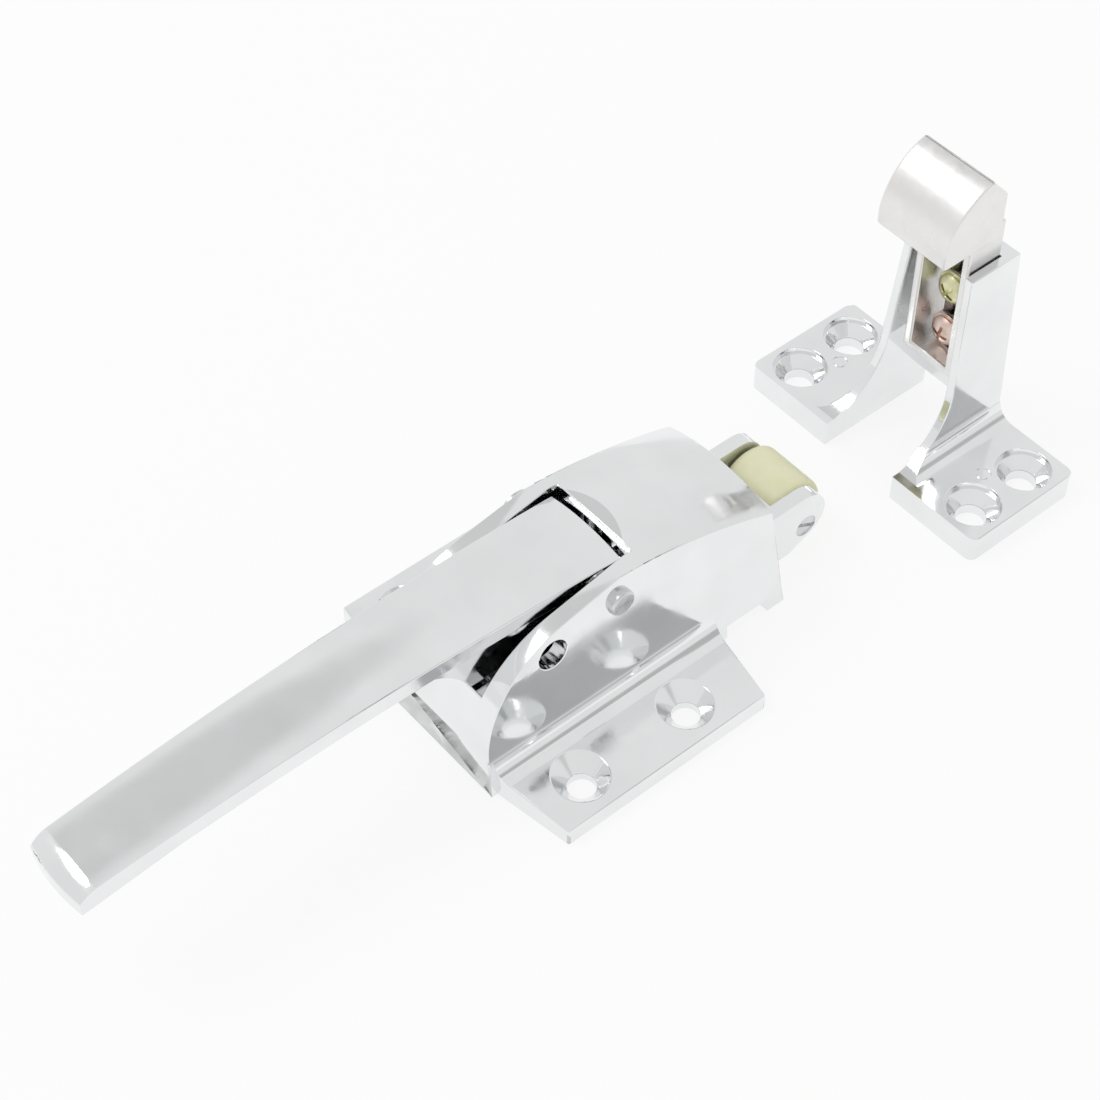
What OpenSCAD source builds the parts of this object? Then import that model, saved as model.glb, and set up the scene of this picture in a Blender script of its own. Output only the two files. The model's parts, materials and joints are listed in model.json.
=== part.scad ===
// Roller latch for a refrigerator or cold-room door, with its keeper.
// +Z stands up from the mounting plane. X runs from the lever's tip to the keeper,
// and the origin is the middle of the latch's four screw holes.

/* [Latch housing] */
// Width across the top of the housing
housing_w = 29; // [27:0.5:31]
// Height of the roof at the edges of its slot's back end
housing_h = 37.3; // [36:0.1:39]
// Widening of each side wall from top to base
wall_draft = 3.5; // [2.5:0.1:4.5]
// X of the front wall
front_x = -27.75; // [-29:0.25:-27]
// Radius of the curved front
front_r = 24.75; // [23.75:0.25:25.25]
// Height at the top of the curved front
cheek_h = 34.25; // [33.5:0.25:34.5]
// Radius of the falling roof
roof_r = 129; // [120:1:140]
// Radius of the crown across the roof and the lever
top_bow = 43; // [38:1:60]
// X of the back end at the base
back_x = 49.6; // [48.6:0.2:51]
// Lean of the back end, in degrees
back_lean = 6.6; // [4:0.2:8]
// Width of the slot for the lever
slot_w = 22.1; // [21.7:0.1:23]
// X where the slot ends
slot_end = 12.5; // [12.3:0.1:13.5]
// Height of the front wall below the lever
front_wall_h = 22; // [20:0.5:22.5]
// Thickness of the roof and end walls
wall_t = 2.8; // [2.4:0.1:3.2]

/* [Latch flanges] */
// Overall width across both flanges
flange_w = 71.8; // [70:0.2:76]
// Thickness at the outer edge of a flange
flange_edge_t = 4.1; // [3.6:0.1:5]
// Slope of the flange's top
flange_slope = 0.075; // [0.02:0.005:0.12]
// Radius between flange and wall
flange_fillet = 4.5; // [3:0.5:6]
// Length of the outer edge
flange_len = 51.1; // [48:0.5:54]
// X of the middle of the outer edge
flange_x = 2.15; // [0:0.05:4]
// Widening of each end from the outer edge to the middle plane
flange_splay = 6; // [4:0.5:6.5]
// Hole spacing along X
hole_pitch_x = 27; // [25:0.5:29]
// Hole spacing along Y
hole_pitch_y = 56; // [54:0.5:58]
// Hole diameter
hole_d = 5.8; // [5:0.1:6.4]
// Diameter of the countersink
sink_d = 11.7; // [10:0.1:12]

/* [Lever] */
// X of the lever's tip
tip_x = -110.9; // [-125:0.1:-100]
// Width at the tip
tip_w = 16.2; // [14:0.2:18]
// Width at the back end, inside the slot
lever_w = 20.8; // [20:0.1:21.2]
// Thickness of the handle plate
lever_t = 3.6; // [3:0.1:4]
// Height of the handle's crown
crown_h = 37.5; // [37:0.1:38]
// Radius of the handle's long curve
crown_r = 670; // [620:10:800]
// Diameter of the pivot pin
pivot_d = 5.8; // [5:0.1:6]
// Diameter of the drive pin
drive_d = 4; // [3:0.1:4.2]
// Length of the lever's foot, from pivot to drive pin
foot_len = 21.5; // [21:0.25:22]
// Full pull of the lever, in degrees
pull_angle = 30; // [20:1:30]

/* [Bolt and roller] */
// Width across the fork
fork_w = 22.6; // [21.8:0.1:23]
// Thickness of each ear
ear_t = 3.2; // [2.6:0.1:3.4]
// Diameter of the roller
roller_d = 16.2; // [15:0.1:16.6]
// X of the roller's axle
axle_x = 61.4; // [60:0.1:64]
// Height of the roller's axle
axle_z = 8.7; // [8.6:0.1:9.4]
// Width of the bolt's tongue
tongue_w = 10; // [8:0.5:10.6]
// Outer diameter of the spring
spring_d = 9; // [7.6:0.2:9.6]
// Diameter of the spring's wire
wire_d = 1; // [0.8:0.1:1.1]

/* [Keeper stand] */
// X of the front of the feet
keeper_x = 86.5; // [84:0.5:100]
// Y of the keeper's middle plane
keeper_y = -1.8; // [-4:0.1:4]
// Length of a foot along X
foot_l = 30.6; // [29.6:0.2:32]
// Overall width across the feet
keeper_w = 67.9; // [66:0.2:72]
// Gap between the feet
feet_gap = 20; // [19:0.2:21]
// Thickness of the feet
foot_t = 6.5; // [5.5:0.1:7.5]
// Height of the column
column_h = 52.2; // [50:0.2:55]
// Width across the top of the column
column_w = 19; // [18.6:0.2:20]
// Widening of each column wall from top to base
column_draft = 2.5; // [2.2:0.1:2.8]
// Radius between the column and the feet
column_root_r = 4; // [2.5:0.5:4.5]
// Thickness of the column's side walls
column_wall = 2.1; // [1.8:0.1:2.3]
// Keeper hole spacing along X
keeper_pitch_x = 15.4; // [14.4:0.2:16]
// Distance of the holes from the outer edge
keeper_edge = 7.7; // [7.2:0.1:8.4]
// Keeper hole diameter
keeper_hole_d = 6.5; // [5.5:0.1:7]

/* [Strike] */
// Height of the nose's underside
nose_z = 61; // [60.8:0.1:63]
// Radius of the nose's curved front
nose_r = 15.1; // [14.5:0.1:15.6]
// Downward adjustment of the strike
strike_travel = 8; // [4:0.5:8]
// Diameter of the clamping screws
clamp_d = 4; // [3:0.1:4.2]
// Height of the lower clamping screw
clamp_z = 28.3; // [28.3:0.1:29]
// Spacing of the clamping screws
clamp_pitch = 12; // [11:0.2:13]

/* [Hidden] */
$fn = 64;
run_fit = 0.05;          // radial clearance of a turning fit
slide_gap = 0.3;         // clearance between sliding faces
eps = 0.01;

// latch
pivot = [slot_end - 5.9, housing_h - 6.7];
lever_end = slot_end - 1.7;
front_c = [front_x + front_r, cheek_h - front_r];
roof_c = [-2, housing_h - sqrt(pow(roof_r, 2) - pow(slot_end + 2, 2))];
roof_rise = pow(slot_w / 2, 2) / 2 / top_bow;      // of the crown, over the slot's edges
lever_rise = pow(lever_w / 2, 2) / 2 / top_bow;    // of the crown, over the lever's edges
ramp_top = [slot_end - 1.5, housing_h + 0.2];
ramp_lift = 1.2;         // keeps the cavity's ramp clear of the lever's swinging end
hub_r = 6.7;
hub_inset = 0.8;         // hub's sides, in from the handle's
spare_hole = [-10.2, housing_h - 9.4];
spare_hole_d = 6.8;
clip_d = pivot_d + 2.4;
clip_t = 0.6;
clip_gap = 0.15;         // from the clip to the widest wall behind it
clip_y = half_w(pivot.y - clip_d / 2) + clip_gap + clip_t / 2;
pin_near = half_w(pivot.y) + 1.2;
pin_far = clip_y + clip_t / 2 + 0.6;
tip_bow = 44;            // radius of the tip's end, seen from above
tip_roll = 5.5;          // radius over which the top rolls down at the tip
lip_t = 4.6;             // thickness of the lip
lip_len = 22;            // length over which the plate thickens to the lip
swing = pull_angle / 2;  // the foot swings evenly about the vertical
drive = pivot + foot_len * [sin(swing), -cos(swing)];
stroke = 2 * foot_len * sin(swing);

// guide plate and what slides on it
plate_z = 1.2;
plate_t = 1.4;
plate_screw_x = 24;
plate_screw_y = slot_w / 2 + 0.5;
boss_r = 3;
plate_screw_d = 2.5;
plate_screw_l = 8;
plate_head_d = 4.8;
plate_head_z = 0.2;
bolt_z = plate_z + plate_t + slide_gap;

// bolt
tongue_top = drive.y + 5;
head_x = 41;
ear_x = 53.4;
ear_root = 6;            // how far the ears run into the head
fork_gap = 0.5;          // from the fork to its opening
ear_top = axle_z + 9.1;
ear_c = axle_z + 2.7;
ear_back = 1.3;          // how far the ear's round end sits behind the axle
ear_r = ear_top - ear_c;
ear_rise = 25.2;         // slope of the ear's lower edge, in degrees
tail_x = -6;
spring_z = axle_z;
spring_x0 = front_x + wall_t + 0.7;
guide_pin_d = spring_d - 2 * wire_d - 1.6;
guide_pin_l = 7;
sleeve_d = 6;
axle_d = 4;
axle_head_d = 5.4;
axle_head_t = 1.7;
roller_l = fork_w - 2 * ear_t - 0.8;

// keeper
keeper_back = keeper_x + foot_l;
column_front = [keeper_x + 16.5, keeper_x + 14.7];   // top and bottom of the straight front edge
sweep_r = 18.4;
sweep_z = 24;
back_wall_t = 3.6;
back_wall_z = 8;
frame_w = column_w - 2 * column_wall - 0.6;
frame_z = clamp_z - 6.2;
frame_x = keeper_x + 17.6;
frame_back = keeper_back - back_wall_t - 0.1;
floor_t = 3.3;
bar_t = 2;
washer_d = 8;
washer_t = 0.9;
screw_head_d = 7;
screw_head_t = 2.3;
screw_dome_r = 4.4;
cross_l = 4;
cross_w = 0.8;
cross_depth = 1.3;
turn_upper = 35;         // where each cross stands, in degrees
turn_lower = 10;
washer_x = frame_back - floor_t - 0.1;
nose_c = [keeper_x + 21.8, nose_z + 2.5];

function half_w(z) = housing_w / 2 + wall_draft * (housing_h - z) / housing_h;
function column_half(z) = column_w / 2 + column_draft * (column_h - z) / column_h;
function on_circle(c, r, a) = c + r * [cos(a), sin(a)];

chrome = [0.82, 0.84, 0.86];
satin = [0.86, 0.86, 0.85];
steel = [0.62, 0.63, 0.65];
nylon = [0.90, 0.90, 0.74];
yellow_zinc = [0.74, 0.70, 0.35];
copper_zinc = [0.80, 0.62, 0.52];

// Modules: helpers

// A drawing of X and Z, given a width along Y.
module side(w, y = 0)
    translate([0, y, 0]) rotate([90, 0, 0]) linear_extrude(w, center = true) children();

// A drawing of Y and Z, given a length along X.
module along_x(x0, x1)
    translate([x0, 0, 0]) rotate([90, 0, 90]) linear_extrude(x1 - x0) children();

// A round bar along Y, with its middle at the given X and Z.
module bar_y(p, d, l, y = 0)
    translate([p.x, y, p.y]) rotate([90, 0, 0]) cylinder(d = d, h = l, center = true);

// A round bar along X.
module bar_x(x0, x1, y, z, d)
    translate([x0, y, z]) rotate([0, 90, 0]) cylinder(d = d, h = x1 - x0);

// A disc on an axis along Y, with its rim crowned across Y.
module barrel(c, r, facets)
    translate([c.x, 0, c.y]) rotate([90, 0, 0]) rotate_extrude($fn = facets) intersection() {
        union() {
            translate([r - top_bow, 0]) circle(top_bow, $fn = 256);
            if (r > top_bow) translate([0, -top_bow]) square([r - top_bow, 2 * top_bow]);
        }
        translate([0, -housing_w]) square([r + 1, 2 * housing_w]);
    }

module both_sides() for (s = [0, 1]) mirror([0, s, 0]) children();

module box(lo, hi) translate(lo) cube(hi - lo);

// Modules: latch housing

// Side outline of the housing below its roof, drawn in by a wall thickness for the cavity.
module shell_outline(inset = 0) {
    floor_z = inset > 0 ? -1 : 0;
    over = 60;
    foot = back_x - inset;
    ramp_v = ramp_top - front_c - [0, inset > 0 ? inset - ramp_lift : 0];
    ramp_a = atan2(ramp_v.y, ramp_v.x) + acos((front_r - inset) / norm(ramp_v));
    p1 = on_circle(front_c, front_r - inset, ramp_a);
    p2 = on_circle(p1, 2 * over, ramp_a - 90);
    intersection() {
        union() {
            translate(front_c) circle(front_r - inset);
            translate([front_x + inset, floor_z]) square([front_r, front_c.y - floor_z]);
            polygon([p1, p2, [p2.x, floor_z], [p1.x, floor_z]]);
        }
        polygon([[front_x - 1, floor_z], [foot, floor_z],
                 [foot - over * tan(back_lean), over], [front_x - 1, over]]);
    }
}

// Cross-section between the drafted side walls.
module wall_section(w)
    polygon([for (s = [-1, 1], z = s < 0 ? [60, -2] : [-2, 60])
        [s * (w / 2 + wall_draft * (housing_h - z) / housing_h), z]]);

module shell_body(inset, w)
    intersection() {
        side(60) shell_outline(inset);
        along_x(front_x - 1, back_x + 1) wall_section(w);
        barrel(roof_c, roof_r + roof_rise - inset, 256);
    }

// One flange's cross-section: sloped top, round root at the wall.
module flange_section() {
    edge = flange_w / 2;
    k = wall_draft / housing_h;
    s = flange_slope;
    rhs_top = flange_edge_t + s * edge + flange_fillet * sqrt(1 + s * s);
    rhs_wall = half_w(0) + flange_fillet * sqrt(1 + k * k);
    cz = (rhs_top - s * rhs_wall) / (1 - s * k);
    c = [rhs_wall - k * cz, cz];
    t_top = c - flange_fillet * [s, 1] / sqrt(1 + s * s);
    t_wall = c - flange_fillet * [1, k] / sqrt(1 + k * k);
    root = t_wall.x - 0.5;
    difference() {
        polygon([[root, 0], [edge, 0], [edge, flange_edge_t], t_top, t_wall, [root, t_wall.y]]);
        translate(c) circle(flange_fillet);
    }
}

module flange_plan() {
    edge = flange_w / 2;
    half = flange_len / 2;
    wide = half + flange_splay;
    translate([flange_x, 0]) polygon([[-wide, 0], [wide, 0], [half, edge], [-half, edge]]);
}

module flange()
    difference() {
        intersection() {
            along_x(front_x - 10, back_x) flange_section();
            linear_extrude(40) flange_plan();
        }
        for (x = [-1, 1]) translate([x * hole_pitch_x / 2, hole_pitch_y / 2, 0]) {
            sink_top = flange_edge_t + flange_slope * (flange_w - hole_pitch_y) / 2;
            sink_h = (sink_d - hole_d) / 2;
            over = 0.8;
            translate([0, 0, -1]) cylinder(d = hole_d, h = 30);
            translate([0, 0, sink_top - sink_h])
                cylinder(d1 = hole_d, d2 = sink_d + 2 * over, h = sink_h + over);
        }
    }

module housing() {
    arch = [back_x - 15.7, back_x - 4.6];
    arch_h = 3.4;
    color(chrome) difference() {
        union() {
            shell_body(0, housing_w);
            both_sides() flange();
        }
        difference() {
            shell_body(wall_t, slot_w);
            for (s = [-1, 1]) translate([plate_screw_x, s * plate_screw_y, plate_z + plate_t])
                cylinder(r = boss_r, h = 60);
        }
        box([front_x - 5, -slot_w / 2, front_wall_h], [slot_end, slot_w / 2, 60]);
        box([back_x - 12, -fork_w / 2 - fork_gap, -1],
            [back_x + 2, fork_w / 2 + fork_gap, ear_top + fork_gap]);
        box([arch[0], -housing_w, -1], [arch[1], housing_w, arch_h]);
        bar_y(pivot, pivot_d, 60);
        bar_y(spare_hole, spare_hole_d, 60);
        for (s = [-1, 1]) translate([plate_screw_x, s * plate_screw_y, 0])
            cylinder(d = plate_screw_d, h = 10);
    }
}

module guide_plate() {
    x0 = front_x + wall_t + 2;
    x1 = back_x - 8.5;
    w = slot_w + 1.6 * wall_draft;
    color(steel) difference() {
        box([x0, -w / 2, plate_z], [x1, w / 2, plate_z + plate_t]);
        for (s = [-1, 1]) translate([plate_screw_x, s * plate_screw_y, 0])
            cylinder(d = plate_screw_d, h = 10);
    }
}

module guide_plate_screws()
    color(steel) for (s = [-1, 1]) translate([plate_screw_x, s * plate_screw_y, 0]) difference() {
        union() {
            translate([0, 0, plate_head_z]) cylinder(d = plate_head_d, h = plate_z - plate_head_z);
            translate([0, 0, plate_z - eps]) cylinder(d = plate_screw_d, h = plate_screw_l);
        }
        translate([0, 0, plate_head_z]) cube([plate_head_d + 1, 0.8, 0.8], center = true);
    }

// Modules: lever

crown_c = [-38, crown_h - crown_r];
function crown(x, drop = 0) = crown_c.y - drop + sqrt(pow(crown_r, 2) - pow(x - crown_c.x, 2));

module lever_plan()
    intersection() {
        polygon([[tip_x, -tip_w / 2], [lever_end, -lever_w / 2],
                 [lever_end, lever_w / 2], [tip_x, tip_w / 2]]);
        union() {
            translate([tip_x + tip_bow, 0]) circle(tip_bow);
            translate([tip_x + tip_bow, -20]) square([150, 40]);
        }
    }

// Underside of the long plate, which thickens to a lip at the tip.
module handle_outline() {
    lip_x = tip_x + lip_len;
    polygon([[tip_x - 1, crown(tip_x, lip_t)], [tip_x - 1, 60], [lever_end, 60],
             [lever_end, crown(lever_end, lever_t)],
             for (x = [-10 : -20 : lip_x + 8]) [x, crown(x, lever_t)],
             [lip_x, crown(lip_x, lever_t)]]);
}

// Long plate with a crowned top that rolls down at the tip.
module handle() {
    roll_x = tip_x + tip_roll;
    turn = asin((roll_x - crown_c.x) / (crown_r - tip_roll));
    proud = 0.03;        // lifts the roll, so that it crosses the crown cleanly
    roll = crown_c + (crown_r - tip_roll + proud) * [sin(turn), cos(turn)];
    intersection() {
        side(40) handle_outline();
        linear_extrude(60) lever_plan();
        barrel(crown_c, crown_r + lever_rise, 720);
        union() {
            barrel(roll, tip_roll + lever_rise, 64);
            translate([roll.x, 0, roll.y]) rotate([0, turn, 0]) box([0, -40, -60], [200, 40, 60]);
        }
    }
}

// Web under the handle, drawn out of the handle by a round root.
module web_outline() {
    root_r = 16;
    root_x = front_x - 12.5;
    under = crown(root_x, lever_t);
    bottom = front_wall_h + 1.2;
    difference() {
        polygon([[root_x, under + 1], [root_x, bottom], [pivot.x, bottom], [pivot.x, under + 1]]);
        translate([root_x, under - root_r]) circle(root_r);
    }
}

module lever() {
    lug_in = tongue_w / 2 + 0.6;
    lug_t = 3;
    lug_r = drive_d / 2 + 2;
    web_w = lever_w - 3.6;
    color(chrome) difference() {
        union() {
            handle();
            side(web_w) web_outline();
            intersection() {
                bar_y(pivot, 2 * hub_r, lever_w - 2 * hub_inset);
                side(40) translate([-60, 0]) square([120, crown(lever_end, lever_t / 2)]);
            }
            for (s = [-1, 1]) side(lug_t, s * (lug_in + lug_t / 2)) {
                translate(drive) circle(lug_r);
                translate(pivot) rotate(swing) translate([eps - lug_r, -foot_len])
                    square([2 * (lug_r - eps), foot_len]);
            }
        }
        bar_y(pivot, pivot_d + 2 * run_fit, 40);
        bar_y(drive, drive_d, 40);
    }
}

// Plain pin, eased at the near end and grooved for its clip at the far end.
module lever_pivot_pin() {
    ease = 0.4;
    length = pin_far + pin_near;
    color(steel) translate([pivot.x, pin_far, pivot.y]) rotate([90, 0, 0]) difference() {
        union() {
            cylinder(d = pivot_d, h = length - ease);
            translate([0, 0, length - ease]) cylinder(d1 = pivot_d, d2 = pivot_d - 2 * ease, h = ease);
        }
        translate([0, 0, pin_far - clip_y - clip_t / 2]) difference() {
            cylinder(d = pivot_d + 1, h = clip_t);
            translate([0, 0, -1]) cylinder(d = pivot_d - 1, h = clip_t + 2);
        }
    }
}

module lever_pin_clip()
    color(steel) difference() {
        bar_y(pivot, clip_d, clip_t, clip_y);
        bar_y(pivot, pivot_d - 1, 2, clip_y);
        translate([pivot.x, clip_y, pivot.y - 4]) cube([2.4, 2, 8], center = true);
    }

module drive_pin() color(steel) bar_y(drive, drive_d, tongue_w + 7.2);

// Modules: bolt, spring and roller

module ear_outline() {
    c = [axle_x - ear_back, ear_c];
    low = on_circle(c, ear_r, ear_rise - 90);
    low_x = low.x - (low.y - bolt_z) / tan(ear_rise);
    translate(c) circle(ear_r);
    polygon([[ear_x - ear_root, bolt_z], [low_x, bolt_z], low, c,
             [c.x, ear_top], [ear_x - ear_root, ear_top]]);
}

module roller_bolt() {
    slot = [drive_d + 0.5, foot_len * (1 - cos(swing)) + drive_d + 1];
    rest_z = drive.y - foot_len * (1 - cos(swing)) / 2;
    ear_mid = (fork_w - ear_t) / 2;
    color(chrome) difference() {
        union() {
            box([tail_x, -tongue_w / 2, bolt_z], [head_x + 1, tongue_w / 2, tongue_top]);
            box([head_x, -fork_w / 2, bolt_z], [ear_x, fork_w / 2, ear_top]);
            for (s = [-1, 1]) side(ear_t, s * ear_mid) ear_outline();
        }
        bar_y([axle_x, axle_z], roller_d + 1, fork_w - 2 * ear_t);
        translate([drive.x, 0, rest_z]) cube([slot.x, 20, slot.y], center = true);
        bar_x(tail_x - 1, tail_x + 8, 0, spring_z, guide_pin_d);
        bar_y([axle_x, axle_z], axle_d, 40);
        bar_y([axle_x, axle_z], axle_head_d, 2 * axle_head_t, -fork_w / 2);
    }
}

module spring_guide_pin()
    color(steel) bar_x(tail_x - guide_pin_l, tail_x + 8, 0, spring_z, guide_pin_d);

// A wound wire: rings of points along a helix, joined into one skin.
module bolt_spring() {
    turns = 5;
    ring = 8;
    steps = round(turns * 14);
    r = (spring_d - wire_d) / 2;
    x0 = spring_x0 + wire_d / 2;
    x1 = tail_x - 0.05 - wire_d / 2;
    pts = [for (i = [0 : steps], j = [0 : ring - 1])
        let (a = 360 * turns * i / steps, q = r + wire_d / 2 * cos(360 * j / ring))
        [x0 + (x1 - x0) * i / steps + wire_d / 2 * sin(360 * j / ring), q * cos(a), spring_z + q * sin(a)]];
    skin = [for (i = [0 : steps - 1], j = [0 : ring - 1])
        let (k = (j + 1) % ring)
        [i * ring + j, i * ring + k, (i + 1) * ring + k, (i + 1) * ring + j]];
    ends = [[for (j = [ring - 1 : -1 : 0]) j], [for (j = [0 : ring - 1]) steps * ring + j]];
    color(steel) polyhedron(pts, concat(skin, ends));
}

module roller_sleeve()
    color(steel) difference() {
        bar_y([axle_x, axle_z], sleeve_d, fork_w - 2 * ear_t);
        bar_y([axle_x, axle_z], axle_d, 40);
    }

module roller_axle_screw()
    color(steel) difference() {
        union() {
            bar_y([axle_x, axle_z], axle_d, fork_w - axle_head_t - 0.2, (axle_head_t - 0.2) / 2);
            bar_y([axle_x, axle_z], axle_head_d, axle_head_t - 0.3, -fork_w / 2 + (axle_head_t + 0.3) / 2);
        }
        translate([axle_x, -fork_w / 2, axle_z]) rotate([0, 30, 0]) cube([8, 1.8, 0.9], center = true);
    }

// Turned roller with eased ends.
module roller() {
    ease = 2;
    r = roller_d / 2;
    color(nylon) translate([axle_x, roller_l / 2, axle_z]) rotate([90, 0, 0]) rotate_extrude()
        union() {
            r0 = sleeve_d / 2 + run_fit;
            translate([r0, 0]) square([r - ease - r0, roller_l]);
            translate([r0, ease]) square([r - r0, roller_l - 2 * ease]);
            for (z = [ease, roller_l - ease]) translate([r - ease, z]) circle(ease);
        }
}

// Modules: keeper

module column_outline()
    difference() {
        polygon([[keeper_x, 0], [keeper_back, 0], [keeper_back, column_h],
                 [column_front[0], column_h], [column_front[1], sweep_z], [keeper_x, sweep_z]]);
        translate([column_front[1] - sweep_r, sweep_z]) circle(sweep_r);
    }

module column_section(w)
    polygon([for (s = [-1, 1], z = s < 0 ? [column_h + 9, -1] : [-1, column_h + 9])
        [s * (w / 2 + column_draft * (column_h - z) / column_h), z]]);

module keeper_foot() {
    corner = 2;
    recess_d = 12;
    recess_t = 1.4;
    cone_t = 2.6;
    mark_d = 3.6;
    mark_t = 0.2;
    mark_in = 4.5;       // from the line of the holes towards the column
    y0 = feet_gap / 2;
    y1 = keeper_w / 2;
    hole_y = y1 - keeper_edge;
    hole_x = keeper_x + foot_l / 2;
    difference() {
        union() {
            box([keeper_x, y0, 0], [keeper_back, y1 - corner, foot_t]);
            box([keeper_x + corner, y0, 0], [keeper_back - corner, y1, foot_t]);
            for (x = [keeper_x + corner, keeper_back - corner])
                translate([x, y1 - corner, 0]) cylinder(r = corner, h = foot_t);
        }
        for (x = [-1, 1]) translate([hole_x + x * keeper_pitch_x / 2, hole_y, 0]) {
            translate([0, 0, -1]) cylinder(d = keeper_hole_d, h = 20);
            translate([0, 0, foot_t - recess_t - cone_t])
                cylinder(d1 = keeper_hole_d, d2 = recess_d - 1, h = cone_t);
            translate([0, 0, foot_t - recess_t - eps]) cylinder(d = recess_d, h = 20);
        }
        translate([hole_x, hole_y - mark_in, foot_t - mark_t]) difference() {
            cylinder(d = mark_d, h = 1);
            cylinder(d = mark_d - 1, h = 3, center = true);
        }
    }
}

// Round root between the column and a foot.
module column_root() {
    root_y = column_half(foot_t);
    sunk = 0.6;
    along_x(keeper_x, keeper_back) difference() {
        translate([root_y - sunk, foot_t - sunk]) square(column_root_r + sunk);
        translate([root_y, foot_t] + column_root_r * [1, 1]) circle(column_root_r);
    }
}

module keeper_stand()
    color(chrome) translate([0, keeper_y, 0]) difference() {
        union() {
            intersection() {
                side(60) column_outline();
                union() {
                    along_x(keeper_x - 1, keeper_back + 1) column_section(column_w);
                    both_sides() column_root();
                }
            }
            both_sides() keeper_foot();
        }
        along_x(keeper_x - 1, keeper_back - back_wall_t) column_section(column_w - 2 * column_wall);
        box([keeper_x - 1, -feet_gap / 2, -1], [keeper_back + 1, feet_gap / 2, back_wall_z]);
        for (i = [0, 1]) bar_x(keeper_back - 10, keeper_back + 1, 0, clamp_z + i * clamp_pitch, clamp_d);
    }

module nose_outline() {
    back = nose_c.x + 1.1;
    peak = nose_c + [-4.2, nose_r - 0.7];
    intersection() {
        translate(nose_c) circle(nose_r);
        polygon([[nose_c.x - nose_r - 1, nose_z], [back, nose_z], [back, peak.y - 5.4],
                 peak + [0.5, 0], [nose_c.x - nose_r - 1, peak.y + 3]]);
    }
}

module strike() {
    floor_x = frame_back - floor_t;
    slot_lo = clamp_z - clamp_d / 2 - 0.3;
    slot_hi = clamp_z + clamp_pitch + clamp_d / 2 + 0.3 + strike_travel;
    recess_w = washer_d + 2;
    slot_r = clamp_d / 2 + 0.3;
    color(satin) translate([0, keeper_y, 0]) difference() {
        union() {
            side(column_w) nose_outline();
            box([frame_x, -frame_w / 2, frame_z], [frame_back, frame_w / 2, nose_z + 1]);
        }
        box([frame_x - 1, -recess_w / 2, frame_z + bar_t], [floor_x, recess_w / 2, nose_z - 2.5]);
        box([floor_x - 1, -slot_r, slot_lo + slot_r], [frame_back + 1, slot_r, slot_hi - slot_r]);
        for (z = [slot_lo + slot_r, slot_hi - slot_r]) bar_x(floor_x - 1, frame_back + 1, 0, z, 2 * slot_r);
    }
}

// Pan-head screw with a cross recess, its head toward -X.
module clamp_screw(z, turn) {
    head_x0 = washer_x - washer_t;
    translate([0, keeper_y, z]) rotate([turn, 0, 0]) difference() {
        union() {
            bar_x(head_x0 - eps, keeper_back - 0.6, 0, 0, clamp_d);
            translate([head_x0, 0, 0]) rotate([0, -90, 0]) intersection() {
                cylinder(d = screw_head_d, h = screw_head_t);
                translate([0, 0, screw_head_t - screw_dome_r]) sphere(screw_dome_r);
            }
        }
        for (a = [0, 90]) rotate([a, 0, 0]) translate([head_x0 - screw_head_t, 0, 0])
            cube([2 * cross_depth, cross_l, cross_w], center = true);
    }
}

module clamp_washer(z)
    translate([0, keeper_y, z]) difference() {
        bar_x(washer_x - washer_t, washer_x, 0, 0, washer_d);
        bar_x(washer_x - 3, washer_x + 1, 0, 0, clamp_d);
    }

module strike_screw_upper() color(yellow_zinc) clamp_screw(clamp_z + clamp_pitch, turn_upper);
module strike_screw_lower() color(copper_zinc) clamp_screw(clamp_z, turn_lower);
module strike_washer_upper() color(yellow_zinc) clamp_washer(clamp_z + clamp_pitch);
module strike_washer_lower() color(copper_zinc) clamp_washer(clamp_z);

housing();
guide_plate();
guide_plate_screws();
lever();
lever_pivot_pin();
lever_pin_clip();
drive_pin();
roller_bolt();
spring_guide_pin();
bolt_spring();
roller_sleeve();
roller_axle_screw();
roller();
keeper_stand();
strike();
strike_screw_upper();
strike_screw_lower();
strike_washer_upper();
strike_washer_lower();
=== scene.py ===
"""Looks of a chrome roller latch and its keeper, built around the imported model."""

import json
import math

import bmesh
import bpy
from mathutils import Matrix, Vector
from mathutils.bvhtree import BVHTree
from mathutils.interpolate import poly_3d_calc


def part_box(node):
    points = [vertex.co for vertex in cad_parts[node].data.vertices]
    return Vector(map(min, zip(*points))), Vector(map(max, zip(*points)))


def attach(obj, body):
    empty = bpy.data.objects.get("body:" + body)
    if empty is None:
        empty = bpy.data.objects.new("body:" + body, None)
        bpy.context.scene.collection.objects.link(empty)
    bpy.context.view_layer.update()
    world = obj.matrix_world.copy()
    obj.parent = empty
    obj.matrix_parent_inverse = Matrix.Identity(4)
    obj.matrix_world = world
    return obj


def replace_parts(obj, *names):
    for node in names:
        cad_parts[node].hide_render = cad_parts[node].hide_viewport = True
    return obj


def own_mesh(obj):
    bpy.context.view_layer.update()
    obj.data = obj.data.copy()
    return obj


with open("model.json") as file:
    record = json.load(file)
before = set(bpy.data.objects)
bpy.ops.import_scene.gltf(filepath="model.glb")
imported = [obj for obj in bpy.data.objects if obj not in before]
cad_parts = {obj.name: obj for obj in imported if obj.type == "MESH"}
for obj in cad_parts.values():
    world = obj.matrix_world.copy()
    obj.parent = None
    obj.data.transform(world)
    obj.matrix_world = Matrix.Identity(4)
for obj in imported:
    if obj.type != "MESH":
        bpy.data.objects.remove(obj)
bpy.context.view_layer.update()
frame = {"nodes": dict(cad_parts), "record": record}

MM = 0.001

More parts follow.
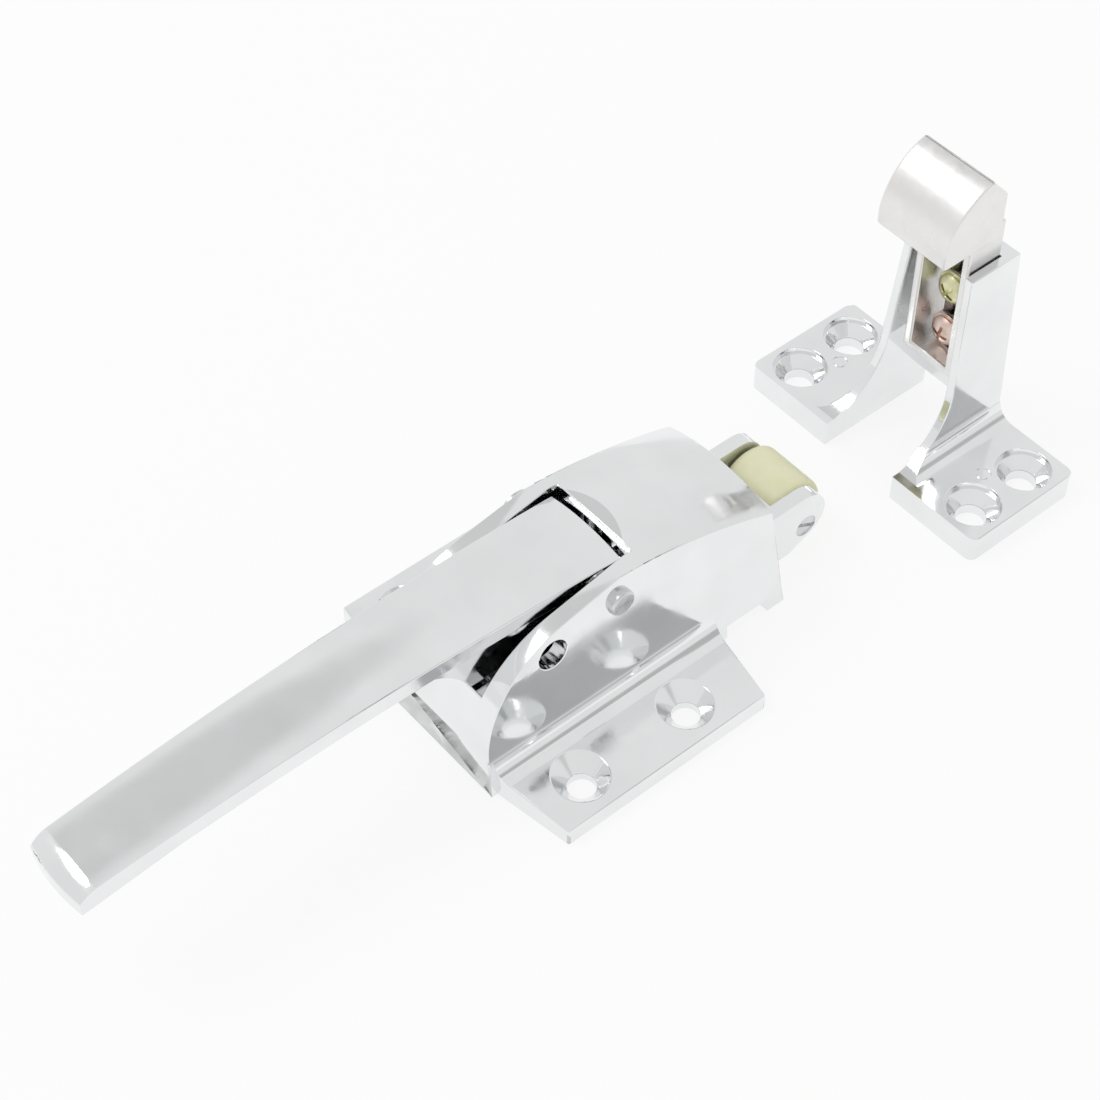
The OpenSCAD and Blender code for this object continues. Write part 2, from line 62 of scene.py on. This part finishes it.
# Camera: degrees, and millimetres in the part's frame
CAMERA_AZIMUTH = -39.774
CAMERA_ELEVATION = 49.552
CAMERA_DISTANCE = 508.5
CAMERA_TARGET = (16.05, 17.12, 9.37)
CAMERA_LENS = 81.07

# Edge radii in millimetres. Each row is a box, low corner and high corner, and the radius of
# the edges whose middles lie in it. The first row that fits an edge counts.
FAR = 999
EVERYWHERE = ((-FAR, -FAR, -FAR), (FAR, FAR, FAR))
BASE = ((-FAR, -FAR, -FAR), (FAR, FAR, 0.3), 0)
EDGES = {
    "housing": [
        BASE,
        ((-29, -FAR, -FAR), (-26, FAR, 10), 0),
        ((3, -FAR, 27), (10.2, FAR, 34.2), 0.12),
        ((-13.8, -13, 24.3), (-6.6, 13, 31.4), 0),
        ((-14, -FAR, 24), (-6.4, FAR, 31.6), 0.2),
        ((-FAR, -19, -FAR), (FAR, 19, 3.6), 0),
        ((-FAR, -12.5, -FAR), (12.6, 12.5, FAR), 0.3),
        ((7, -35, -FAR), (20, -21, FAR), 0.2),
        ((-20, -35, -FAR), (-7, -21, FAR), 0.2),
        ((7, 21, -FAR), (20, 35, FAR), 0.2),
        ((-20, 21, -FAR), (-7, 35, FAR), 0.2),
        ((-FAR, -FAR, -FAR), (FAR, -19, FAR), 0.5),
        ((-FAR, 19, -FAR), (FAR, FAR, FAR), 0.5),
        ((-FAR, -FAR, -FAR), (FAR, FAR, 11), 0.3),
        (*EVERYWHERE, 0.22),
    ],
    "lever": [
        ((3, -FAR, 27), (10.2, FAR, 34.2), 0.1),
        ((-2, -10, -FAR), (FAR, 10, 33), 0),
        ((-FAR, -FAR, -FAR), (FAR, FAR, 27), 0.25),
        ((-60, -9, -FAR), (FAR, 9, 34.5), 0.3),
        (*EVERYWHERE, 0.25),
    ],
    "keeper_stand": [
        BASE,
        ((-FAR, -17, -FAR), (FAR, 13.4, 9.5), 0),
        ((99, -26.5, 6.2), (105, -20.5, 7), 0),
        ((99, 17, 6.2), (105, 23, 7), 0),
        ((-FAR, -35, 4.9), (FAR, -21.5, 5.3), 0.1),
        ((-FAR, 18, 4.9), (FAR, 31.3, 5.3), 0.1),
        ((-FAR, -35, 2), (FAR, -21.5, 6.8), 0.2),
        ((-FAR, 18, 2), (FAR, 31.3, 6.8), 0.2),
        ((112, -FAR, 24), (FAR, FAR, 46), 0.2),
        ((-FAR, -17, -FAR), (FAR, 13.4, FAR), 0.3),
        (*EVERYWHERE, 0.5),
    ],
    "strike": [
        ((108.5, -FAR, -FAR), (FAR, FAR, 59), 0.2),
        (*EVERYWHERE, 0.55),
    ],
    "guide_plate": [(*EVERYWHERE, 0.15)],
    "strike_washer_upper": [(*EVERYWHERE, 0.15)],
    "strike_washer_lower": [(*EVERYWHERE, 0.15)],
}
SHARP_BELOW = {"housing", "keeper_stand"}    # undersides keep their edges
EDGE_WIDEST = 1.0
EDGE_STEPS = 3
SHARP_ANGLE = math.radians(25)

# How a rounded copy is set against its node: millimetres, degrees and cosines
JOIN_WITHIN = 0.02
FLAT_WITHIN = 0.1
FLAT_CORNERS = 12               # a face with more corners than this is flat
KEPT_WITHIN = 0.05
KEPT_COSINE = 0.998
SMOOTH_COSINE = 0.8
HAIR = 0.01
STRAY_OUTWARD = 0.07
EASE_REACHES = (0.3, 0.6, 1.2, 2.4, 4.8)

# Turned pieces, in millimetres
ROLLER_RIM = 2.0
ROLLER_PLAY = 0.05
PIN_RIM = 0.5
PIN_FAR_RIM = 0.2
PIN_GROOVE = 0.5

# The coil spring, in millimetres
SPRING_ENDS = (-24.25, -6.05)   # along X, at rest
SPRING_HEIGHT = 8.7
SPRING_RADIUS = 4.0             # to the middle of the wire
SPRING_WIRE = 0.5               # radius of the wire
SPRING_TURNS = 5

FLOOR_WHITE = 0.85              # share of plain white in what the camera and the metal see


# Node-tree helpers

def add(tree, kind, **values):
    """A node whose inputs and properties are set by name."""
    made = tree.nodes.new(kind)
    for name, value in values.items():
        if hasattr(made, name):
            setattr(made, name, value)
        else:
            made.inputs[name.replace("_", " ")].default_value = value
    return made


def new_material(name):
    material = bpy.data.materials.new(name)
    material.use_nodes = True
    tree = material.node_tree
    return material, tree, tree.nodes["Principled BSDF"]


def noise(tree, scale, detail=3.0):
    """Noise in object space; the scale is in features per metre."""
    where = add(tree, "ShaderNodeTexCoord")
    made = add(tree, "ShaderNodeTexNoise", Scale=scale, Detail=detail)
    tree.links.new(where.outputs["Object"], made.inputs["Vector"])
    return made.outputs["Fac"]


def spread(tree, value, low, high):
    """Maps the middle of a noise to the range from low to high."""
    made = add(tree, "ShaderNodeMapRange", clamp=True)
    for socket, number in zip(made.inputs[1:5], (0.3, 0.7, low, high)):
        socket.default_value = number
    tree.links.new(value, made.inputs["Value"])
    return made.outputs["Result"]


def colour_mix(tree, value, low, high):
    made = add(tree, "ShaderNodeMix", data_type="RGBA")
    made.inputs["A"].default_value = (*low, 1)
    made.inputs["B"].default_value = (*high, 1)
    tree.links.new(value, made.inputs["Factor"])
    return made.outputs["Result"]


def bump(tree, value, strength, distance, under=None):
    made = add(tree, "ShaderNodeBump", Strength=strength, Distance=distance)
    tree.links.new(value, made.inputs["Height"])
    if under is not None:
        tree.links.new(under, made.inputs["Normal"])
    return made.outputs["Normal"]


# Materials

def chrome():
    """Bright plating on a die casting: near-mirror, a little wavy, with hazy patches."""
    material, tree, shader = new_material("chrome_casting")
    shader.inputs["Metallic"].default_value = 1.0
    patches = noise(tree, 70)
    tone = colour_mix(tree, spread(tree, patches, 0, 1), (0.83, 0.84, 0.845), (0.88, 0.89, 0.895))
    tree.links.new(tone, shader.inputs["Base Color"])
    tree.links.new(spread(tree, noise(tree, 160), 0.05, 0.16), shader.inputs["Roughness"])
    waves = bump(tree, noise(tree, 110, 1.0), 0.12, 0.4 * MM)
    tree.links.new(bump(tree, noise(tree, 1400), 0.04, 0.1 * MM, waves), shader.inputs["Normal"])
    return material


def satin_chrome():
    """Plating over a blasted surface, as on the nose of the strike."""
    material, tree, shader = new_material("satin_casting")
    shader.inputs["Metallic"].default_value = 1.0
    tone = colour_mix(tree, spread(tree, noise(tree, 90), 0, 1), (0.82, 0.81, 0.80), (0.87, 0.865, 0.86))
    tree.links.new(tone, shader.inputs["Base Color"])
    tree.links.new(spread(tree, noise(tree, 500), 0.26, 0.36), shader.inputs["Roughness"])
    tree.links.new(bump(tree, noise(tree, 900), 0.02, 0.1 * MM), shader.inputs["Normal"])
    return material


def steel():
    """Turned and plated steel."""
    material, tree, shader = new_material("steel")
    shader.inputs["Metallic"].default_value = 1.0
    tone = colour_mix(tree, spread(tree, noise(tree, 300), 0, 1), (0.62, 0.625, 0.64), (0.74, 0.745, 0.755))
    tree.links.new(tone, shader.inputs["Base Color"])
    tree.links.new(spread(tree, noise(tree, 900), 0.16, 0.32), shader.inputs["Roughness"])
    tree.links.new(bump(tree, noise(tree, 1800), 0.06, 0.1 * MM), shader.inputs["Normal"])
    return material


def nylon():
    """Cream moulded nylon, slightly clouded."""
    material, tree, shader = new_material("nylon")
    tone = colour_mix(tree, spread(tree, noise(tree, 220), 0, 1), (0.78, 0.77, 0.50), (0.83, 0.82, 0.58))
    tree.links.new(tone, shader.inputs["Base Color"])
    tree.links.new(spread(tree, noise(tree, 700), 0.38, 0.52), shader.inputs["Roughness"])
    shader.inputs["Subsurface Weight"].default_value = 0.15
    shader.inputs["Subsurface Radius"].default_value = (0.0012, 0.001, 0.0006)
    tree.links.new(bump(tree, noise(tree, 1500), 0.05, 0.1 * MM), shader.inputs["Normal"])
    return material


def zinc(name, low, high):
    """Passivated zinc on a screw, with a drift of colour."""
    material, tree, shader = new_material(name)
    shader.inputs["Metallic"].default_value = 1.0
    tone = colour_mix(tree, spread(tree, noise(tree, 420), 0, 1), low, high)
    tree.links.new(tone, shader.inputs["Base Color"])
    tree.links.new(spread(tree, noise(tree, 900), 0.28, 0.42), shader.inputs["Roughness"])
    tree.links.new(bump(tree, noise(tree, 1600), 0.08, 0.1 * MM), shader.inputs["Normal"])
    return material


# Geometry

def edge_radius(rows, middle):
    """Radius for an edge with this middle, both in millimetres."""
    for low, high, radius in rows:
        if all(a <= m <= b for a, m, b in zip(low, middle, high)):
            return radius
    return 0


def joined_mesh(piece):
    """A copy of a node's mesh with its split corners joined and its flat faces whole."""
    made = bpy.data.meshes.new(piece.name + "_rounded")
    made.from_pydata([v.co for v in piece.data.vertices], [], [p.vertices for p in piece.data.polygons])
    work = bmesh.new()
    work.from_mesh(made)
    bmesh.ops.remove_doubles(work, verts=work.verts, dist=JOIN_WITHIN * MM)
    bmesh.ops.dissolve_limit(
        work, angle_limit=math.radians(FLAT_WITHIN), verts=work.verts, edges=work.edges)
    work.to_mesh(made)
    work.free()
    return made


def weigh_edges(mesh, rows, sharp_below):
    """Writes each sharp edge's radius as a share of the widest."""
    work = bmesh.new()
    work.from_mesh(mesh)
    weight = work.edges.layers.float.new("bevel_weight_edge")
    for edge in work.edges:
        if not edge.is_convex or edge.calc_face_angle() < SHARP_ANGLE:
            continue
        if sharp_below and min(face.normal.z for face in edge.link_faces) < -0.2:
            continue
        middle = (edge.verts[0].co + edge.verts[1].co) / 2 / MM
        edge[weight] = edge_radius(rows, middle) / EDGE_WIDEST
    work.to_mesh(mesh)
    work.free()


class Skin:
    """Surface of a CAD node, with the normals that it came with."""

    def __init__(self, piece):
        self.mesh = piece.data
        self.tree = BVHTree.FromPolygons(
            [v.co for v in self.mesh.vertices], [p.vertices for p in self.mesh.polygons])
        self.corners = [c.vector.copy() for c in self.mesh.corner_normals]

    def normal(self, point):
        near, _, index, _ = self.tree.find_nearest(point)
        face = self.mesh.polygons[index]
        shares = poly_3d_calc([self.mesh.vertices[i].co for i in face.vertices], near)
        return sum((self.corners[i] * s for i, s in zip(face.loop_indices, shares)), Vector()).normalized()

    def holds(self, mesh, face):
        """Whether a face of a rounded copy still lies on this surface."""
        count = len(face.vertices)
        for corner in (0, count // 3, 2 * count // 3):
            _, normal, _, gap = self.tree.find_nearest(inward(mesh, face, corner))
            if gap > KEPT_WITHIN * MM or normal.dot(face.normal) < KEPT_COSINE:
                return False
        return True


def inward(mesh, face, corner):
    """Point a hair inside a face from one of its corners."""
    count = len(face.vertices)
    here, after, before = (
        mesh.vertices[face.vertices[(corner + step) % count]].co for step in (0, 1, -1))
    into = (face.normal.cross((after - here).normalized())
            + face.normal.cross((here - before).normalized()))
    return here + into.normalized() * HAIR * MM


def settle_normals(mesh, skin):
    """Gives the CAD's normals to the faces that lie on it, and lets the roundings run between them."""
    kept = [skin.holds(mesh, face) for face in mesh.polygons]
    normals = [Vector()] * len(mesh.loops)
    shared = {}
    for face, keep in zip(mesh.polygons, kept):
        if not keep:
            continue
        for corner, loop in enumerate(face.loop_indices):
            found = skin.normal(inward(mesh, face, corner))
            flat = len(face.vertices) > FLAT_CORNERS or found.dot(face.normal) < SMOOTH_COSINE
            normals[loop] = face.normal.copy() if flat else found
            vertex = face.vertices[corner]
            shared[vertex] = shared.get(vertex, Vector()) + normals[loop]
    for face, keep in zip(mesh.polygons, kept):
        if keep:
            continue
        for vertex, loop in zip(face.vertices, face.loop_indices):
            normals[loop] = shared.get(vertex, mesh.vertex_normals[vertex].vector).normalized()
    mesh.shade_smooth()
    mesh.normals_split_custom_set(normals)


def strays(made, skin):
    """Points of the node's own surface beside which rounding threw a corner out."""
    shown = made.evaluated_get(bpy.context.evaluated_depsgraph_get())
    found = []
    for vertex in shown.data.vertices:
        near, normal, _, gap = skin.tree.find_nearest(vertex.co)
        outward = (vertex.co - near).dot(normal) > 0
        if gap > EDGE_WIDEST * MM or (gap > STRAY_OUTWARD * MM and outward):
            found.append(near)
    return found


def ease(mesh, places, reach):
    """Leaves the edges near these places sharp."""
    weight = mesh.attributes["bevel_weight_edge"].data
    for edge in mesh.edges:
        a, b = (mesh.vertices[i].co for i in edge.vertices)
        for place in places:
            along = max(0.0, min(1.0, (place - a).dot(b - a) / max((b - a).length_squared, 1e-18)))
            if (a.lerp(b, along) - place).length < reach:
                weight[edge.index].value = 0


def rounded(name, rows):
    """A copy of a CAD node with rounded edges, which is shown in its stead."""
    piece = frame["nodes"][name]
    mesh = joined_mesh(piece)
    weigh_edges(mesh, rows, name in SHARP_BELOW)
    made = bpy.data.objects.new(name + "_rounded", mesh)
    bpy.context.scene.collection.objects.link(made)
    edges = made.modifiers.new("edges", "BEVEL")
    edges.width = EDGE_WIDEST * MM
    edges.segments = EDGE_STEPS
    edges.limit_method = "WEIGHT"
    edges.use_clamp_overlap = False
    edges.loop_slide = False
    skin = Skin(piece)
    for reach in EASE_REACHES:
        bpy.context.view_layer.update()
        found = strays(made, skin)
        if not found:
            break
        ease(mesh, found, reach * MM)
    bpy.context.view_layer.update()
    final = made.evaluated_get(bpy.context.evaluated_depsgraph_get())
    made.data = bpy.data.meshes.new_from_object(final)
    made.modifiers.clear()
    settle_normals(made.data, skin)
    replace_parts(made, name)
    return made


def turned(name, centre, axis, profile, steps=96):
    """A piece turned about an axis: profile is a loop of (along, radius), in metres."""
    axis = Vector(axis)
    one = axis.orthogonal().normalized()
    two = axis.cross(one)
    points = [Vector(centre) + axis * along
              + radius * (one * math.cos(2 * math.pi * i / steps) + two * math.sin(2 * math.pi * i / steps))
              for along, radius in profile for i in range(steps)]
    count = len(profile)
    faces = [(a * steps + i, a * steps + j, b * steps + j, b * steps + i)
             for a, b in ((k, (k + 1) % count) for k in range(count))
             for i, j in ((n, (n + 1) % steps) for n in range(steps))]
    mesh = bpy.data.meshes.new(name + "_turned")
    mesh.from_pydata(points, [], faces)
    work = bmesh.new()
    work.from_mesh(mesh)
    bmesh.ops.remove_doubles(work, verts=work.verts, dist=0.001 * MM)
    bmesh.ops.recalc_face_normals(work, faces=work.faces)
    work.to_mesh(mesh)
    work.free()
    mesh.shade_smooth()
    mesh.set_sharp_from_angle(angle=SHARP_ANGLE)
    made = bpy.data.objects.new(name + "_turned", mesh)
    bpy.context.scene.collection.objects.link(made)
    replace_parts(made, name)
    return made


def quarter(along, radius, turn_along, turn_radius, r, steps=8):
    """Points of a rounded corner about a centre, from one of its two ends to the other."""
    return [(along + turn_along * r * math.cos(math.pi / 2 * k / steps),
             radius + turn_radius * r * math.sin(math.pi / 2 * k / steps)) for k in range(steps + 1)]


def roller_piece():
    """The roller, with rounded rims."""
    low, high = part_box("roller")
    sleeve_low, sleeve_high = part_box("roller_sleeve")
    bore = (sleeve_high.x - sleeve_low.x) / 2 + ROLLER_PLAY * MM
    r, half, soft = (high.x - low.x) / 2, (high.y - low.y) / 2, ROLLER_RIM * MM
    profile = [(-half, bore), *quarter(soft - half, r - soft, -1, 1, soft),
               *reversed(quarter(half - soft, r - soft, 1, 1, soft)), (half, bore)]
    return turned("roller", (low + high) / 2, (0, 1, 0), profile, 128)


def pivot_pin_piece():
    """The lever's pin, with rounded ends and a groove for its clip."""
    low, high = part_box("lever_pivot_pin")
    clip_low, clip_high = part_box("lever_pin_clip")
    middle = (low + high) / 2
    r, half = (high.x - low.x) / 2, (high.y - low.y) / 2
    soft, far_soft, deep = PIN_RIM * MM, PIN_FAR_RIM * MM, PIN_GROOVE * MM
    groove = clip_low.y - middle.y, clip_high.y - middle.y
    profile = [(-half, 0), *quarter(soft - half, r - soft, -1, 1, soft),
               (groove[0], r), (groove[0], r - deep), (groove[1], r - deep), (groove[1], r),
               *reversed(quarter(half - far_soft, r - far_soft, 1, 1, far_soft, 3)), (half, 0)]
    return turned("lever_pivot_pin", middle, (0, 1, 0), profile)


def spring_piece(steps=240, ring=12):
    """The coil spring, with a round wire."""
    start, end = SPRING_ENDS[0] + SPRING_WIRE, SPRING_ENDS[1] - SPRING_WIRE
    mesh = bmesh.new()
    rings = []
    for step in range(steps + 1):
        turn = math.tau * SPRING_TURNS * step / steps
        along = start + (end - start) * step / steps
        row = []
        for spot in range(ring):
            about = math.tau * spot / ring
            reach = SPRING_RADIUS + SPRING_WIRE * math.cos(about)
            row.append(mesh.verts.new(Vector((
                along + SPRING_WIRE * math.sin(about),
                reach * math.cos(turn),
                SPRING_HEIGHT + reach * math.sin(turn),
            )) * MM))
        rings.append(row)
    for low, high in zip(rings, rings[1:]):
        for spot in range(ring):
            after = (spot + 1) % ring
            mesh.faces.new((low[spot], low[after], high[after], high[spot])).smooth = True
    mesh.faces.new(rings[0])
    mesh.faces.new(rings[-1])
    bmesh.ops.recalc_face_normals(mesh, faces=mesh.faces)
    data = bpy.data.meshes.new("coil_spring")
    mesh.to_mesh(data)
    mesh.free()
    made = bpy.data.objects.new("coil_spring", data)
    bpy.context.scene.collection.objects.link(made)
    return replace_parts(made, "bolt_spring")


# Stage

def floor(size=16.0):
    """Pale floor that shows as white to the camera and in the metal, and keeps a soft shadow."""
    bpy.ops.mesh.primitive_plane_add(size=size)
    plane = bpy.context.object
    plane.name = "floor"
    material, tree, shader = new_material("floor")
    shader.inputs["Base Color"].default_value = (0.9, 0.9, 0.9, 1)
    shader.inputs["Roughness"].default_value = 0.8
    shader.inputs["Specular IOR Level"].default_value = 0.0
    white = add(tree, "ShaderNodeEmission", Strength=1.0)
    path = add(tree, "ShaderNodeLightPath")
    seen = path.outputs["Is Camera Ray"]
    for other in ("Is Glossy Ray", "Is Transmission Ray"):
        both = add(tree, "ShaderNodeMath", operation="MAXIMUM")
        tree.links.new(seen, both.inputs[0])
        tree.links.new(path.outputs[other], both.inputs[1])
        seen = both.outputs["Value"]
    share = add(tree, "ShaderNodeMath", operation="MULTIPLY")
    share.inputs[1].default_value = FLOOR_WHITE
    tree.links.new(seen, share.inputs[0])
    mix = add(tree, "ShaderNodeMixShader")
    tree.links.new(share.outputs["Value"], mix.inputs["Fac"])
    tree.links.new(shader.outputs["BSDF"], mix.inputs[1])
    tree.links.new(white.outputs["Emission"], mix.inputs[2])
    tree.links.new(mix.outputs["Shader"], tree.nodes["Material Output"].inputs["Surface"])
    plane.data.materials.append(material)


# Grey patches of the room: direction, brightness, and the cosines between which each fades in
ROOM = 0.84
PATCHES = [
    ((0.41, -0.65, 0.64), 0.5, 0.95, 0.985),
    ((0.05, 0.53, 0.845), 0.66, 0.93, 0.975),
]


def room():
    """A white room with soft grey patches for the metal to show."""
    world = bpy.data.worlds.new("room")
    world.use_nodes = True
    bpy.context.scene.world = world
    tree = world.node_tree
    where = add(tree, "ShaderNodeTexCoord")
    level = add(tree, "ShaderNodeValue")
    level.outputs[0].default_value = ROOM
    level = level.outputs[0]
    for direction, brightness, far, near in PATCHES:
        dot = add(tree, "ShaderNodeVectorMath", operation="DOT_PRODUCT")
        dot.inputs[1].default_value = Vector(direction).normalized()
        tree.links.new(where.outputs["Generated"], dot.inputs[0])
        fade = add(tree, "ShaderNodeMapRange", interpolation_type="SMOOTHSTEP")
        fade.inputs["From Min"].default_value = far
        fade.inputs["From Max"].default_value = near
        tree.links.new(dot.outputs["Value"], fade.inputs["Value"])
        mix = add(tree, "ShaderNodeMix", data_type="FLOAT")
        mix.inputs["B"].default_value = brightness
        tree.links.new(fade.outputs["Result"], mix.inputs["Factor"])
        tree.links.new(level, mix.inputs["A"])
        level = mix.outputs["Result"]
    tree.links.new(level, tree.nodes["Background"].inputs["Color"])


def lamp(name, place, target, size, power):
    """A square soft box; place and target are in metres."""
    data = bpy.data.lights.new(name, "AREA")
    data.size = size
    data.energy = power
    made = bpy.data.objects.new(name, data)
    bpy.context.scene.collection.objects.link(made)
    made.location = place
    made.rotation_euler = (Vector(target) - Vector(place)).to_track_quat("-Z", "Y").to_euler()


def camera():
    """The photograph's own view."""
    azimuth, elevation = math.radians(CAMERA_AZIMUTH), math.radians(CAMERA_ELEVATION)
    back = Vector((
        math.sin(azimuth) * math.cos(elevation),
        -math.cos(azimuth) * math.cos(elevation),
        math.sin(elevation),
    ))
    data = bpy.data.cameras.new("camera")
    data.lens = CAMERA_LENS
    data.sensor_width = 36
    data.clip_start, data.clip_end = 0.01, 20
    made = bpy.data.objects.new("camera", data)
    bpy.context.scene.collection.objects.link(made)
    made.location = (Vector(CAMERA_TARGET) + back * CAMERA_DISTANCE) * MM
    made.rotation_euler = (-back).to_track_quat("-Z", "Y").to_euler()
    bpy.context.scene.camera = made


# The part

finishes = {
    "chrome_casting": chrome(),
    "satin_casting": satin_chrome(),
    "steel": steel(),
    "nylon": nylon(),
    "yellow_zinc": zinc("yellow_zinc", (0.62, 0.60, 0.30), (0.80, 0.80, 0.55)),
    "copper_zinc": zinc("copper_zinc", (0.70, 0.52, 0.44), (0.86, 0.74, 0.68)),
}
shown = {name: rounded(name, rows) for name, rows in EDGES.items()}
shown["roller"] = roller_piece()
shown["lever_pivot_pin"] = pivot_pin_piece()
shown["bolt_spring"] = spring_piece()
bodies = frame["record"]["behaviour"]["bodies"]
body_of = {name: body for body, names in bodies.items() for name in names}
for part in frame["record"]["subparts"]:
    name, finish = part["node"], part["material_slot"]
    for piece in {frame["nodes"][name], shown.get(name, frame["nodes"][name])}:
        piece.data.materials.clear()
        piece.data.materials.append(finishes[finish])
    if name in shown:
        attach(shown[name], body_of[name])
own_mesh(shown["bolt_spring"])

camera()
room()
floor()
lamp("key", (-0.5, 0.5, 1.1), (0, 0, 0), 0.5, 3)

bpy.context.scene.view_settings.view_transform = "Standard"
